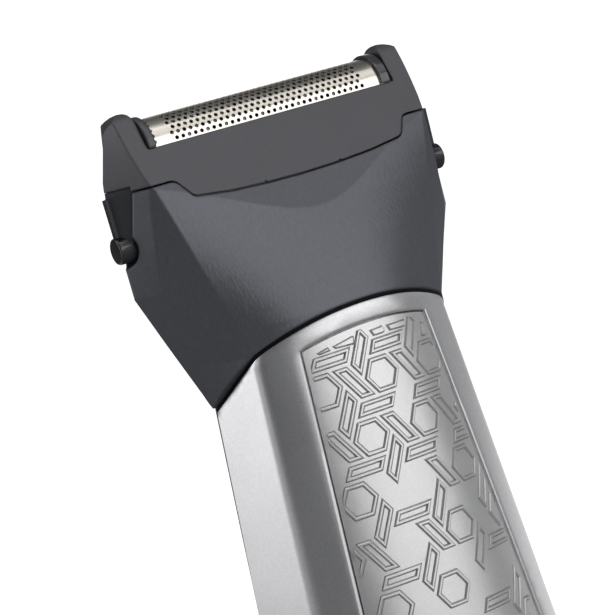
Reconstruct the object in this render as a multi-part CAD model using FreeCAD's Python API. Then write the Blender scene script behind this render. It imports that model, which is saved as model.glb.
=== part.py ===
import FreeCAD, Part
import math
import os

# Cordless foil body groomer. Millimetres. +Z runs up the handle to the foil, the
# decorated face looks along -Y, X is left/right. The origin is the middle of the foot.

V = FreeCAD.Vector

# ---------------------------------------------------------------- driving dimensions
WALL = 1.8                 # handle shell wall
HEAD_WALL = 1.7            # head housing wall
RUN = 0.06                 # running clearance, radial
SEAM = 0.24                # visible seam between moulded pieces

CAP_H = 9.0                # height of the bottom cap
RIM_Z = 136.70             # lowest point of the head rim, at mid side
RIM_SLOPE = 0.672          # rise of the rim per mm of depth, front and back
RIM_BAND = 0.42            # black collar band between handle and head

PANEL_DROP = 3.1           # panel's top edge below the rim
PANEL_BOTTOM = 62.0        # lowest level of the decorated panel
PANEL_RECESS = 0.35        # how far the panel floor lies below the shell
PANEL_T = 0.9              # panel thickness

FOIL_R = 3.75              # outer radius of the arched foil
FOIL_T = 0.15
FOIL_Z = 170.0             # centre line of the foil arch, and top edge of the frame
FOIL_HALF = 16.7           # half length of the foil
HEAD_TOP = 175.0           # top of the ears beside the foil
FACE_SLOPE = 0.484         # lean of the head's flat face: depth per mm of height
FACE_Y0 = 3.86             # half depth of the flat face at FACE_Z0
FACE_Z0 = 170.29

BUTTON_Z = 46.0            # power button centre
BUTTON_R = 6.4
BUTTON_TRAVEL = 0.8
INLET_Y = 5.0              # charging socket centre, behind the middle of the foot
INLET_R = 1.75             # charging socket bore
RELEASE_Z = 158.9          # release button centre
RELEASE_R = 1.7
POCKET = 0.65

BATT_R, BATT_L = 7.1, 49.0
BATT_Y, BATT_Z = 1.6, 20.0
MOTOR_R, MOTOR_Z0, MOTOR_Z1 = 7.8, 80.0, 106.0
CRANK = 0.8                # crank offset = half of the cutter stroke
STROKE = 0.8               # cutter travel each way

# handle outline by height:
# z, soft edge x, soft edge y, side ridge x, front depth, rear edge x, rear edge y, rear depth
HANDLE = [
    (0.0, 12.6, 6.9, 14.8, 12.1, 11.0, 6.9, 11.2),
    (3.0, 13.6, 7.5, 15.9, 13.1, 11.9, 7.5, 12.2),
    (10.0, 14.2, 7.9, 16.6, 13.8, 12.4, 7.9, 12.8),
    (25.0, 14.9, 8.5, 17.4, 14.8, 12.9, 8.4, 13.5),
    (40.0, 15.7, 9.2, 18.2, 16.1, 13.5, 9.0, 14.4),
    (55.0, 16.45, 10.0, 18.9, 17.5, 14.1, 9.6, 15.4),
    (70.0, 17.0, 10.7, 19.3, 18.8, 14.6, 10.1, 16.1),
    (84.0, 17.15, 11.15, 19.5, 19.6, 14.7, 10.35, 16.5),
    (96.0, 17.0, 11.25, 19.35, 19.45, 14.5, 10.4, 16.5),
    (104.0, 16.52, 10.90, 18.98, 18.61, 14.2, 10.3, 16.3),
    (120.0, 15.39, 10.09, 17.84, 16.64, 13.4, 9.9, 15.5),
    (136.0, 14.27, 9.28, 16.68, 14.68, 12.55, 9.35, 14.3),
    (152.0, 13.14, 8.47, 15.52, 12.71, 11.7, 8.8, 12.9),
]

# head outline by height (front half, mirrored to the back):
# z, edge x, edge y, facet x, facet y, side ridge x, front depth
HEAD = [
    (132.0, 14.0, 9.30, 14.60, 8.40, 15.13, 14.9),
    (136.7, 13.95, 9.20, 14.50, 8.30, 17.00, 14.5),
    (142.5, 13.80, 8.94, 14.30, 8.20, 19.31, 13.95),
    (145.8, 14.60, 8.57, 16.50, 6.60, 20.62, 13.48),
    (152.6, 16.35, 7.78, 21.06, 3.20, 23.25, 11.44),
    (158.0, 17.70, 7.16, 20.75, 4.40, 23.33, 9.83),
    (165.5, 19.60, 6.30, 20.00, 5.80, 23.45, 7.59),
    (167.4, 19.70, 5.90, 20.05, 5.40, 23.16, 7.0),
    (171.3, 19.90, 4.60, 20.15, 4.20, 21.96, 5.9),
    (176.5, 20.00, 3.00, 20.15, 2.70, 20.55, 4.4),
]


def lerp_table(table, z):
    for lo, hi in zip(table, table[1:]):
        if z <= hi[0]:
            t = (z - lo[0]) / (hi[0] - lo[0])
            return [a + (b - a) * t for a, b in zip(lo, hi)]
    return list(table[-1])


def poly_wire(pts):
    return Part.makePolygon([V(*p) for p in pts] + [V(*pts[0])])


def arc(p, q, r):
    return Part.Arc(V(*p), V(*q), V(*r)).toShape()


def line(p, q):
    return Part.LineSegment(V(*p), V(*q)).toShape()


def handle_wire(row, inset=0.0):
    z, sx, sy, a, b, rx, ry, rb = row
    d = inset
    sx, sy, a, b = sx - 0.80 * d, sy - 0.62 * d, a - 1.02 * d, b - d
    rx, ry, rb = rx - 0.70 * d, ry - 0.62 * d, rb - d
    e = [
        arc((-sx, -sy, z), (0, -b, z), (sx, -sy, z)),
        line((sx, -sy, z), (a, 0, z)),
        line((a, 0, z), (rx, ry, z)),
        arc((rx, ry, z), (0, rb, z), (-rx, ry, z)),
        line((-rx, ry, z), (-a, 0, z)),
        line((-a, 0, z), (-sx, -sy, z)),
    ]
    return Part.Wire(e)


def handle_body(inset=0.0, z0=None, z1=None):
    rows = [r for r in HANDLE]
    if z0 is not None:
        rows = [lerp_table(HANDLE, z0)] + [r for r in rows if r[0] > z0 + 0.5]
    if z1 is not None:
        rows = [r for r in rows if r[0] < z1 - 0.5] + [lerp_table(HANDLE, z1)]
    return Part.makeLoft([handle_wire(r, inset) for r in rows], True, True)


def head_wire(row, inset=0.0):
    z, ex, ey, fx, fy, a, b = row
    d = inset
    ex, ey, fx, fy, a, b = ex - 0.86 * d, ey - 0.55 * d, fx - 0.98 * d, fy - 0.35 * d, a - 1.08 * d, b - d
    e = [
        arc((-ex, -ey, z), (0, -b, z), (ex, -ey, z)),
        line((ex, -ey, z), (fx, -fy, z)),
        line((fx, -fy, z), (a, 0, z)),
        line((a, 0, z), (fx, fy, z)),
        line((fx, fy, z), (ex, ey, z)),
        arc((ex, ey, z), (0, b, z), (-ex, ey, z)),
        line((-ex, ey, z), (-fx, fy, z)),
        line((-fx, fy, z), (-a, 0, z)),
        line((-a, 0, z), (-fx, -fy, z)),
        line((-fx, -fy, z), (-ex, -ey, z)),
    ]
    return Part.Wire(e)


def prism(pts, direction):
    return Part.Face(poly_wire(pts)).extrude(V(*direction))


def rim_wedge(dz, top=230.0):
    """Everything above the rim surface Z = RIM_Z + dz + slope*|Y|."""
    z0 = RIM_Z + dz
    w = 40.0
    pts = [(-40, 0, z0), (-40, -w, z0 + RIM_SLOPE * w), (-40, -w, top), (-40, w, top), (-40, w, z0 + RIM_SLOPE * w)]
    return prism(pts, (80, 0, 0))


def below_rim(dz, bottom=-20.0):
    z0 = RIM_Z + dz
    w = 40.0
    pts = [(-40, 0, z0), (-40, -w, z0 + RIM_SLOPE * w), (-40, -w, bottom), (-40, w, bottom), (-40, w, z0 + RIM_SLOPE * w)]
    return prism(pts, (80, 0, 0))


def box(x0, x1, y0, y1, z0, z1):
    return Part.makeBox(x1 - x0, y1 - y0, z1 - z0, V(x0, y0, z0))


def cyl(r, p, d, h):
    return Part.makeCylinder(r, h, V(*p), V(*d))


def rrect(hx, hy, r, z0, z1):
    """Upright block with rounded corners."""
    s = box(-hx, hx, -hy, hy, z0, z1)
    edges = [e for e in s.Edges if abs(e.Vertexes[0].X - e.Vertexes[1].X) < 1e-6 and abs(e.Vertexes[0].Y - e.Vertexes[1].Y) < 1e-6]
    return s.makeFillet(r, edges)


def ring(ro, ri, p, d, h):
    return cyl(ro, p, d, h).cut(cyl(ri, p, d, h))


def clean(s):
    try:
        r = s.removeSplitter()
        if r.isValid() and r.Solids:
            s = r
    except Exception:
        pass
    return s


out = {}

# ---------------------------------------------------------------- handle shells
outer = handle_body()
inner = handle_body(WALL, z0=CAP_H - 1.0)
shell = outer.cut(inner).common(below_rim(-RIM_BAND)).common(box(-40, 40, -40, 40, CAP_H, 170))
front_half = shell.common(box(-40, 40, -40, 0, -1, 170))
rear_half = shell.common(box(-40, 40, 0, 40, -1, 170))


def front_depth(z):
    return lerp_table(HANDLE, z)[4]


def rear_depth(z):
    return lerp_table(HANDLE, z)[7]


# panel outline seen from the front: x half width by height
def panel_half(z):
    zz = max(z, 90.0)
    w = 8.94 + (144.0 - zz) * 0.0762
    if z < 90.0:
        w -= (90.0 - z) * 0.03
    return w


def panel_prism(grow, drop=PANEL_DROP, bottom=PANEL_BOTTOM):
    """Front view outline of the panel as a prism through the front wall."""
    zs = [bottom + 6 * i for i in range(0, 14)]
    zs = [z for z in zs if z < 139.0]
    top = 141.2 + grow
    pts = []
    lo = bottom - grow
    zlist = [lo] + [z for z in zs if z > lo + 1] + [top]
    for z in zlist:
        pts.append((panel_half(z) + grow, -30, z))
    for z in reversed(zlist):
        pts.append((-panel_half(z) - grow, -30, z))
    p = prism(pts, (0, 25, 0))
    return p


def panel_region(grow, d0, d1):
    """Slice of the front wall between depths d0 and d1 below the outer surface, inside the panel outline."""
    a = handle_body(d0, z0=40.0, z1=152.0)
    b = handle_body(d1, z0=39.0, z1=152.0)
    region = a.cut(b)
    region = region.common(panel_prism_top(grow))
    return region


def panel_prism_top(grow):
    zs = [PANEL_BOTTOM - grow, 70, 80, 90, 100, 110, 120, 130, 150]
    pts = [(panel_half(z) + grow, -30, z) for z in zs] + [(-panel_half(z) - grow, -30, z) for z in reversed(zs)]
    p = prism(pts, (0, 28, 0))
    return p.common(below_rim(-PANEL_DROP + grow))


recess_cut = panel_region(0.0, -1.0, PANEL_RECESS + PANEL_T)
front_shell = front_half.cut(recess_cut)
pattern_panel = panel_region(-0.02, PANEL_RECESS, PANEL_RECESS + PANEL_T - 0.0)

# power button opening, light pipe opening
fy = -front_depth(BUTTON_Z)
BEZEL_R = BUTTON_R + 1.3
front_shell = front_shell.cut(cyl(BEZEL_R, (0, fy - 5, BUTTON_Z), (0, 1, 0), 12))
LED_Z = 31.0
ly = -front_depth(LED_Z)
slot = box(-2.2, 2.2, ly - 3, ly + 5, LED_Z - 0.6, LED_Z + 0.6)
front_shell = front_shell.cut(slot)
out["front_shell"] = clean(front_shell)
out["pattern_panel"] = clean(pattern_panel)

# rear shell with grip ribs and two screw bosses
rear_shell = rear_half
SCREW_ZS = (74.5, 112.0)
for z in SCREW_ZS:
    y1 = rear_depth(z) - WALL + 0.3
    rear_shell = rear_shell.fuse(cyl(2.8, (0, 9.8, z), (0, 1, 0), y1 - 9.8))
for z in SCREW_ZS:
    yb = rear_depth(z)
    rear_shell = rear_shell.cut(cyl(1.25, (0, 9.0, z), (0, 1, 0), 12)).cut(cyl(2.2, (0, yb - 1.3, z), (0, 1, 0), 4))
for i in range(11):
    z = 40.0 + i * 2.6
    if any(abs(z - s) < 3.4 for s in SCREW_ZS):
        continue
    yb = rear_depth(z)
    rear_shell = rear_shell.cut(box(-8.5, 8.5, yb - 0.45, yb + 3, z - 0.5, z + 0.5))
out["rear_shell"] = clean(rear_shell)

# ---------------------------------------------------------------- bottom cap and inlet
cap = outer.common(box(-40, 40, -40, 40, -0.01, CAP_H - SEAM))
cap_hollow = handle_body(WALL, z0=2.2, z1=CAP_H + 2)
cap = cap.cut(cap_hollow)
cap = cap.cut(cyl(4.1, (0, INLET_Y, -1), (0, 0, 1), 5))
CAP_SCREWS = (-9.0, 9.0)
for x in CAP_SCREWS:
    cap = cap.fuse(cyl(2.9, (x, 0, 2.0), (0, 0, 1), CAP_H + 1.0 - 2.0))
for x in CAP_SCREWS:
    cap = cap.cut(cyl(1.2, (x, 0, -1), (0, 0, 1), 15)).cut(cyl(2.1, (x, 0, -1), (0, 0, 1), 3.0))
out["bottom_cap"] = clean(cap)
cs = []
for x in CAP_SCREWS:
    s = cyl(2.0, (x, 0, 0.5), (0, 0, 1), 1.5).fuse(cyl(1.1, (x, 0, 1.9), (0, 0, 1), 12.0))
    s = s.cut(box(x - 1.4, x + 1.4, -0.25, 0.25, 0.0, 1.0)).cut(box(x - 0.25, x + 0.25, -1.4, 1.4, 0.0, 1.0))
    cs.append(s)
out["cap_screws"] = Part.Compound(cs)
inlet = cyl(4.0, (0, INLET_Y, 0.3), (0, 0, 1), 11.5).fuse(cyl(4.9, (0, INLET_Y, 2.25), (0, 0, 1), 1.5)).cut(cyl(INLET_R, (0, INLET_Y, -1), (0, 0, 1), 11.3))
inlet = inlet.cut(box(-4.3, -1.0, INLET_Y - 0.5, INLET_Y + 0.5, 4.0, 13.0)).cut(box(1.0, 4.3, INLET_Y - 0.5, INLET_Y + 0.5, 4.0, 13.0))
out["charge_inlet"] = clean(inlet)
c1 = box(1.95, 2.35, INLET_Y - 0.42, INLET_Y + 0.42, 4.1, 15.0).fuse(box(1.95, 3.6, INLET_Y - 0.42, INLET_Y + 0.42, 11.9, 12.3))
c2 = box(-2.35, -1.95, INLET_Y - 0.42, INLET_Y + 0.42, 4.1, 15.0).fuse(box(-3.6, -1.95, INLET_Y - 0.42, INLET_Y + 0.42, 11.9, 12.3))
out["inlet_contacts"] = Part.Compound([c1, c2])

# ---------------------------------------------------------------- chassis
ch = box(-6.5, 6.5, 8.8, 9.8, 12.5, 118.0)
ch = ch.fuse(box(-11.5, 11.5, -4.5, 9.0, 10.05, 12.55))
ch = ch.fuse(box(-8.0, 8.0, -7.4, 9.0, 17.8, 19.9))
ch = ch.fuse(box(-8.6, 8.6, -7.4, 9.0, 69.1, 71.0))
ch = ch.fuse(box(-9.5, 9.5, -7.4, 9.0, 77.6, 79.9))
for sx in (-1, 1):
    x0, x1 = (7.7, 8.6) if sx > 0 else (-8.6, -7.7)
    ch = ch.fuse(box(x0, x1, 1.0, 9.0, 19.0, 79.0))
ch = ch.common(handle_body(WALL + 0.06, z0=9.5, z1=130.0))
ch = ch.cut(cyl(4.3, (0, INLET_Y, 9.0), (0, 0, 1), 5.0))
ch = ch.cut(cyl(3.0, (0, 0, 76.0), (0, 0, 1), 5.0))
for x in CAP_SCREWS:
    ch = ch.cut(cyl(1.12, (x, 0, 9.0), (0, 0, 1), 3.6))
    ch = ch.cut(cyl(2.0, (x, 0, 12.6), (0, 0, 1), 2.6))
for z in SCREW_ZS:
    ch = ch.cut(cyl(1.12, (0, 8.0, z), (0, 1, 0), 3.0))
ch = ch.cut(cyl(BATT_R + 0.02, (0, BATT_Y, BATT_Z - 0.08), (0, 0, 1), BATT_L + 0.05))
ch = ch.cut(cyl(MOTOR_R + 0.02, (0, 0, 79.9), (0, 0, 1), 40))
out["chassis"] = clean(ch)

sc = []
for z in SCREW_ZS:
    yb = rear_depth(z)
    s = cyl(2.05, (0, yb - 1.3, z), (0, 1, 0), 1.1).fuse(cyl(1.08, (0, 8.0, z), (0, 1, 0), yb - 1.2 - 8.0))
    s = s.cut(box(-1.4, 1.4, yb - 0.8, yb + 1, z - 0.25, z + 0.25)).cut(box(-0.25, 0.25, yb - 0.8, yb + 1, z - 1.4, z + 1.4))
    sc.append(s)
out["shell_screws"] = Part.Compound(sc)

# ---------------------------------------------------------------- battery and electronics
bat = cyl(BATT_R, (0, BATT_Y, BATT_Z), (0, 0, 1), BATT_L - 1.0).fuse(cyl(2.6, (0, BATT_Y, BATT_Z + BATT_L - 1.0), (0, 0, 1), 0.8))
out["battery_cell"] = bat
t1 = box(-2.4, 2.4, BATT_Y - 2.4, BATT_Y + 2.4, BATT_Z + BATT_L - 0.2, BATT_Z + BATT_L + 0.05).fuse(box(-1.5, 1.5, -7.35, BATT_Y, BATT_Z + BATT_L - 0.2, BATT_Z + BATT_L + 0.05))
t2 = box(-2.4, 2.4, BATT_Y - 2.4, BATT_Y + 2.4, BATT_Z - 0.05, BATT_Z).fuse(box(-1.5, 1.5, -7.35, BATT_Y, BATT_Z - 0.05, BATT_Z))
out["battery_tabs"] = Part.Compound([t1, t2])
pcb = box(-8.5, 8.5, -8.6, -7.4, 20.5, 76.0)
pcb = pcb.cut(cyl(1.15, (6.5, -9, 70.05), (0, 1, 0), 3)).cut(cyl(1.15, (-6.5, -9, 70.05), (0, 1, 0), 3))
out["circuit_board"] = pcb
out["board_screws"] = Part.Compound([cyl(1.7, (x, -9.6, 70.05), (0, 1, 0), 1.0).fuse(cyl(0.9, (x, -8.7, 70.05), (0, 1, 0), 1.3)) for x in (-6.5, 6.5)])
comp = [box(-6.5, -2.0, -9.7, -8.6, 55, 60), box(1.5, 5.5, -9.4, -8.6, 56, 59), box(-7, -4.5, -9.5, -8.6, 24, 27), box(4.0, 7.0, -9.6, -8.6, 24, 28.5), box(3.0, 4.2, -9.2, -8.6, 62, 64.2), box(-4.2, -3.0, -9.2, -8.6, 62, 64.2)]
out["board_components"] = Part.Compound(comp)
SW_Y0 = -11.8
STEM_Y = SW_Y0 - BUTTON_TRAVEL - 0.15
sw = box(-3.0, 3.0, SW_Y0, -8.6, BUTTON_Z - 3.0, BUTTON_Z + 3.0).cut(cyl(1.3, (0, SW_Y0 - 1, BUTTON_Z), (0, 1, 0), 3.4))
out["switch_body"] = sw
out["status_led"] = box(-1.6, 1.6, -9.8, -8.6, LED_Z - 0.8, LED_Z + 0.8)
pipe = box(-2.12, 2.12, ly + 0.05, -9.9, LED_Z - 0.52, LED_Z + 0.52).fuse(box(-3.0, 3.0, ly + WALL + 0.35, ly + WALL + 1.1, LED_Z - 1.2, LED_Z + 1.2))
out["light_pipe"] = clean(pipe)

# power button: cap, bezel and switch plunger
bez = ring(BEZEL_R - 0.03, BUTTON_R + 0.10, (0, fy - 0.45, BUTTON_Z), (0, 1, 0), 3.4)
out["button_bezel"] = bez
btn = cyl(BUTTON_R, (0, fy - 0.85, BUTTON_Z), (0, 1, 0), 3.2)
btn_face = [e for e in btn.Edges if abs(e.CenterOfMass.y - (fy - 0.85)) < 1e-4 and e.Length > 10]
btn = btn.makeFillet(0.7, btn_face)
btn = btn.fuse(cyl(2.0, (0, fy + 2.3, BUTTON_Z), (0, 1, 0), STEM_Y - (fy + 2.3)))
out["power_button"] = clean(btn)
out["switch_plunger"] = cyl(1.2, (0, STEM_Y, BUTTON_Z), (0, 1, 0), -10.5 - STEM_Y)

# ---------------------------------------------------------------- motor
can = cyl(MOTOR_R - 0.02, (0, 0, MOTOR_Z0 + 1.8), (0, 0, 1), MOTOR_Z1 - MOTOR_Z0 - 1.8).cut(cyl(MOTOR_R - 0.8, (0, 0, MOTOR_Z0), (0, 0, 1), MOTOR_Z1 - MOTOR_Z0 - 0.8))
can = can.cut(cyl(1.0 + RUN, (0, 0, MOTOR_Z0), (0, 0, 1), 40))
out["motor_can"] = can
out["motor_end_cap"] = cyl(MOTOR_R - 0.02, (0, 0, MOTOR_Z0), (0, 0, 1), 1.8).cut(cyl(1.0 + RUN, (0, 0, MOTOR_Z0 - 1), (0, 0, 1), 5))
mag = ring(MOTOR_R - 0.82, MOTOR_R - 2.3, (0, 0, MOTOR_Z0 + 3.5), (0, 0, 1), 18.0).cut(box(-1.2, 1.2, -10, 10, 80, 110))
out["motor_magnets"] = mag
out["motor_shaft"] = cyl(1.0, (0, 0, MOTOR_Z0 - 1.5), (0, 0, 1), 113.0 - MOTOR_Z0 + 1.5)
core = ring(MOTOR_R - 2.6, 1.0, (0, 0, MOTOR_Z0 + 5.0), (0, 0, 1), 15.0)
for k in range(3):
    a = math.radians(120 * k + 30)
    s = box(2.6, 8.0, -0.55, 0.55, 80, 110)
    s.rotate(V(0, 0, 0), V(0, 0, 1), 120 * k + 30)
    core = core.cut(s)
out["rotor_core"] = clean(core)
out["eccentric"] = cyl(4.2, (0, 0, 110.0), (0, 0, 1), 4.0).cut(cyl(1.0, (0, 0, 109), (0, 0, 1), 4.0)).fuse(cyl(0.75, (CRANK, 0, 113.9), (0, 0, 1), 4.1))
br = box(-11.6, 11.6, -6.5, 6.5, MOTOR_Z1, MOTOR_Z1 + 1.8)
br = br.fuse(box(10.4, 11.6, -6.5, 6.5, MOTOR_Z1 + 1.0, 123.0)).fuse(box(-11.6, -10.4, -6.5, 6.5, MOTOR_Z1 + 1.0, 123.0))
br = br.cut(cyl(2.2, (0, 0, MOTOR_Z1 - 1), (0, 0, 1), 5))
for y in (-4.6, 4.6):
    br = br.cut(cyl(1.0, (-20, y, 120.6), (1, 0, 0), 40))
for x in (-5.0, 5.0):
    br = br.cut(cyl(0.85, (x, 0, MOTOR_Z1 - 1), (0, 0, 1), 4))
out["motor_bracket"] = clean(br)
out["motor_screws"] = Part.Compound([cyl(1.5, (x, 0, MOTOR_Z1 + 1.8), (0, 0, 1), 0.9).fuse(cyl(0.8, (x, 0, MOTOR_Z1 + 0.02), (0, 0, 1), 1.9)) for x in (-5.0, 5.0)])
out["guide_rods"] = Part.Compound([cyl(1.0, (-11.6, y, 120.6), (1, 0, 0), 23.2) for y in (-4.6, 4.6)])

# oscillating bridge on the guide rods, with the steel drive post
bridge = box(-6.5, 6.5, -6.6, 6.6, 118.6, 122.6).fuse(box(-4.6, 4.6, -3.2, 3.2, 115.0, 118.8))
for y in (-4.6, 4.6):
    bridge = bridge.cut(cyl(1.0 + RUN, (-20, y, 120.6), (1, 0, 0), 40))
sl = 0.75 + CRANK + STROKE + 0.12
bridge = bridge.cut(box(-sl, sl, -(0.75 + CRANK + 0.12), 0.75 + CRANK + 0.12, 114.0, 118.4))
bridge = bridge.cut(cyl(2.0, (0, 0, 119.5), (0, 0, 1), 5))
out["drive_bridge"] = clean(bridge)
post = cyl(2.0, (0, 0, 119.5), (0, 0, 1), 154.0 - 119.5)
post = post.makeChamfer(0.4, [e for e in post.Edges if abs(e.CenterOfMass.z - 154.0) < 1e-4 and e.Length > 5])
out["drive_post"] = post

# ---------------------------------------------------------------- neck collar, seal and ring
SP_X, SP_Y, SP_R = 10.2, 6.6, 3.5
band = handle_body(0.12, z0=128.0, z1=152.0).common(below_rim(-0.04)).common(rim_wedge(-RIM_BAND))
band = band.cut(handle_body(3.1, z0=126.0, z1=152.0))
plug = handle_body(WALL + 0.03, z0=126.5, z1=152.0).cut(handle_body(3.1, z0=128.2, z1=152.0)).common(below_rim(-RIM_BAND + 0.1))
spig = rrect(SP_X, SP_Y, SP_R, 127.0, 147.3).cut(rrect(SP_X - 1.4, SP_Y - 1.4, SP_R - 1.4, 127.5, 145.6))
collar = band.fuse(plug).fuse(spig)
collar = collar.cut(rrect(5.2, 4.2, 1.5, 120.0, 129.5))
collar = collar.cut(rrect(2.0 + STROKE + 0.15, 2.2, 2.1, 140.0, 150.0))
groove = rrect(SP_X + 1, SP_Y + 1, SP_R, 141.4, 142.6).cut(rrect(SP_X - 0.55, SP_Y - 0.55, SP_R - 0.55, 141.0, 143.0))
collar = collar.cut(groove)
out["neck_collar"] = clean(collar)
oring = rrect(SP_X + 0.06, SP_Y + 0.06, SP_R + 0.06, 141.45, 142.55).cut(rrect(SP_X - 0.53, SP_Y - 0.53, SP_R - 0.53, 141.0, 143.0))
out["neck_oring"] = oring
seal = rrect(5.0, 4.4, 2.6, 147.3, 148.2).cut(rrect(2.0 + STROKE + 0.15, 2.0 + 0.15, 2.1, 147.0, 149.0))
out["drive_seal"] = seal

# ---------------------------------------------------------------- head
head_outer = Part.makeLoft([head_wire(r) for r in HEAD], True, True)


def face_wedge(z_lo, z_hi, extra=0.0):
    """Between the head's flat front and back faces, with a rounded crest."""
    y0 = FACE_Y0 + FACE_SLOPE * (FACE_Z0 - z_lo) + extra
    y1 = FACE_Y0 + FACE_SLOPE * (FACE_Z0 - z_hi) + extra
    return prism([(-40, -y0, z_lo), (-40, -y1, z_hi), (-40, y1, z_hi), (-40, y0, z_lo)], (80, 0, 0))


apex = FACE_Z0 + FACE_Y0 / FACE_SLOPE
half = math.atan(FACE_SLOPE)
crest_r = (apex - HEAD_TOP) * math.sin(half) / (1 - math.sin(half))
crest_z = HEAD_TOP - crest_r
tan_z = crest_z + crest_r * math.sin(half)
wedge = face_wedge(130.0, tan_z)
crest = cyl(crest_r, (-40, 0, crest_z), (1, 0, 0), 80)
head_env = wedge.fuse(crest)
head_solid = head_outer.common(head_env).common(rim_wedge(0.04))

# seam between housing and foil frame, front view profile
SEAM_HALF = [(0.0, 162.13), (5.0, 162.22), (10.0, 162.5), (13.4, 162.9), (14.45, 163.02), (14.95, 163.17), (15.25, 163.42), (16.4, 165.22), (16.7, 165.44), (17.2, 165.55), (40.0, 165.55)]
SEAM_PTS = [(-x, z) for x, z in SEAM_HALF[:0:-1]] + SEAM_HALF


def seam_prism(dz, up):
    edge = [(x, -40, z + dz) for x, z in SEAM_PTS]
    far = 230.0 if up else 100.0
    return prism(edge + [(40, -40, far), (-40, -40, far)], (0, 80, 0))


housing = head_solid.common(seam_prism(-SEAM / 2, False))
upper = head_solid.common(seam_prism(SEAM / 2, True))

hin = Part.makeLoft([head_wire(r, HEAD_WALL) for r in HEAD], True, True)
hin_wedge = face_wedge(130.0, 174.0, -HEAD_WALL * 1.1)
housing_in = hin.common(hin_wedge).common(box(-40, 40, -40, 40, 130, 170))
housing = housing.cut(housing_in)

# light-tight lip behind the seam, front and back: it stands up inside the foil frame
LIP_X = 15.9
for sy in (-1, 1):
    lip_pts = [(-LIP_X, sy * y, z) for y, z in ((4.75, 163.8), (5.22, 163.8), (5.22, 161.8), (6.6, 160.8), (6.6, 159.6), (4.75, 161.0))]
    housing = housing.fuse(prism(lip_pts, (2 * LIP_X, 0, 0)))

# slots in the housing sides for the release tongues, open at the top
TONGUE_TOP, TONGUE_W0, TONGUE_W1 = 166.14, 1.5, 3.4


def tongue_prism(sx, grow, top):
    """Side view outline of a release tongue: wide where it meets the foil frame, narrow at its button."""
    x = 18.0 * sx
    pts = [(x, -TONGUE_W0 - grow, RELEASE_Z), (x, -TONGUE_W1 - grow, 165.3), (x, -TONGUE_W1 - grow, top), (x, TONGUE_W1 + grow, top), (x, TONGUE_W1 + grow, 165.3), (x, TONGUE_W0 + grow, RELEASE_Z)]
    return prism(pts, (12.0 * sx, 0, 0))


for sx in (-1, 1):
    housing = housing.cut(tongue_prism(sx, 0.14, 170.0))
    housing = housing.cut(cyl(RELEASE_R + POCKET, (18.0 * sx, 0, RELEASE_Z), (sx, 0, 0), 12.0))
out["head_housing"] = clean(housing)

# base plate inside the head, with a skirt over the handle's spigot and rails for the carriage
BASE_Z0, BASE_Z1 = 148.6, 150.4
plate = Part.makeLoft([head_wire(r, HEAD_WALL + 0.04) for r in HEAD], True, True).common(box(-40, 40, -40, 40, BASE_Z0, BASE_Z1))
skirt = rrect(SP_X + 1.2, SP_Y + 1.2, SP_R + 1.2, 138.8, BASE_Z0 + 0.5).cut(rrect(SP_X + 0.1, SP_Y + 0.1, SP_R + 0.1, 138.0, BASE_Z0))
base = plate.fuse(skirt)
for sy in (-1, 1):
    y0, y1 = (3.5, 4.5) if sy > 0 else (-4.5, -3.5)
    base = base.fuse(box(-15.0, 15.0, y0, y1, BASE_Z1 - 0.3, 153.6))
base = base.cut(rrect(2.0 + STROKE + 0.3, 2.4, 2.3, 148.0, 151.5))
out["head_base"] = clean(base)

carriage = box(-13.4, 13.4, -3.4, 3.4, BASE_Z1 + 0.06, 157.5)
carriage = carriage.cut(cyl(2.0 + RUN, (0, 0, 150.0), (0, 0, 1), 4.6))
carriage = carriage.cut(box(3.6, 12.2, -2.3, 2.3, 150.0, 155.9)).cut(box(-12.2, -3.6, -2.3, 2.3, 150.0, 155.9))
for x in (-9.0, 9.0):
    carriage = carriage.fuse(cyl(1.0, (x, 0, 157.4), (0, 0, 1), 8.2))
out["cutter_carriage"] = clean(carriage)


def coil(x, y, z0, z1, mean_r, wire_r, turns):
    pitch = (z1 - z0 - 2 * wire_r) / turns
    helix = Part.makeHelix(pitch, pitch * turns, mean_r)
    circ = Part.Wire(Part.Circle(V(mean_r, 0, 0), V(0, 1, 0), wire_r).toShape())
    s = Part.Wire(helix).makePipeShell([circ], True, True)
    s.translate(V(x, y, z0 + wire_r))
    return s


out["cutter_springs"] = Part.Compound([coil(x, 0, 157.5, 164.5, 1.75, 0.22, 5.0) for x in (-9.0, 9.0)])

holder = box(-15.3, 15.3, -2.7, 2.7, 164.5, 167.2)
for x in (-9.0, 9.0):
    holder = holder.cut(cyl(1.0 + RUN + 0.04, (x, 0, 164.0), (0, 0, 1), 2.75))
holder = holder.fuse(box(-15.3, -14.9, -2.7, 2.7, 167.0, 169.0)).fuse(box(14.9, 15.3, -2.7, 2.7, 167.0, 169.0))
out["blade_holder"] = clean(holder)
BL_R = FOIL_R - FOIL_T - 0.08
blades = []
for i in range(23):
    x = -14.3 + i * 1.3
    b = cyl(BL_R, (x - 0.15, 0, FOIL_Z), (1, 0, 0), 0.3).cut(cyl(BL_R - 1.5, (x - 1, 0, FOIL_Z + 0.2), (1, 0, 0), 3.0)).common(box(-20, 20, -6, 6, 167.2, 175))
    b = b.fuse(box(x - 0.15, x + 0.15, -2.5, 2.5, 167.2, 168.3))
    blades.append(clean(b))
out["cutter_blades"] = Part.Compound(blades)

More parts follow.
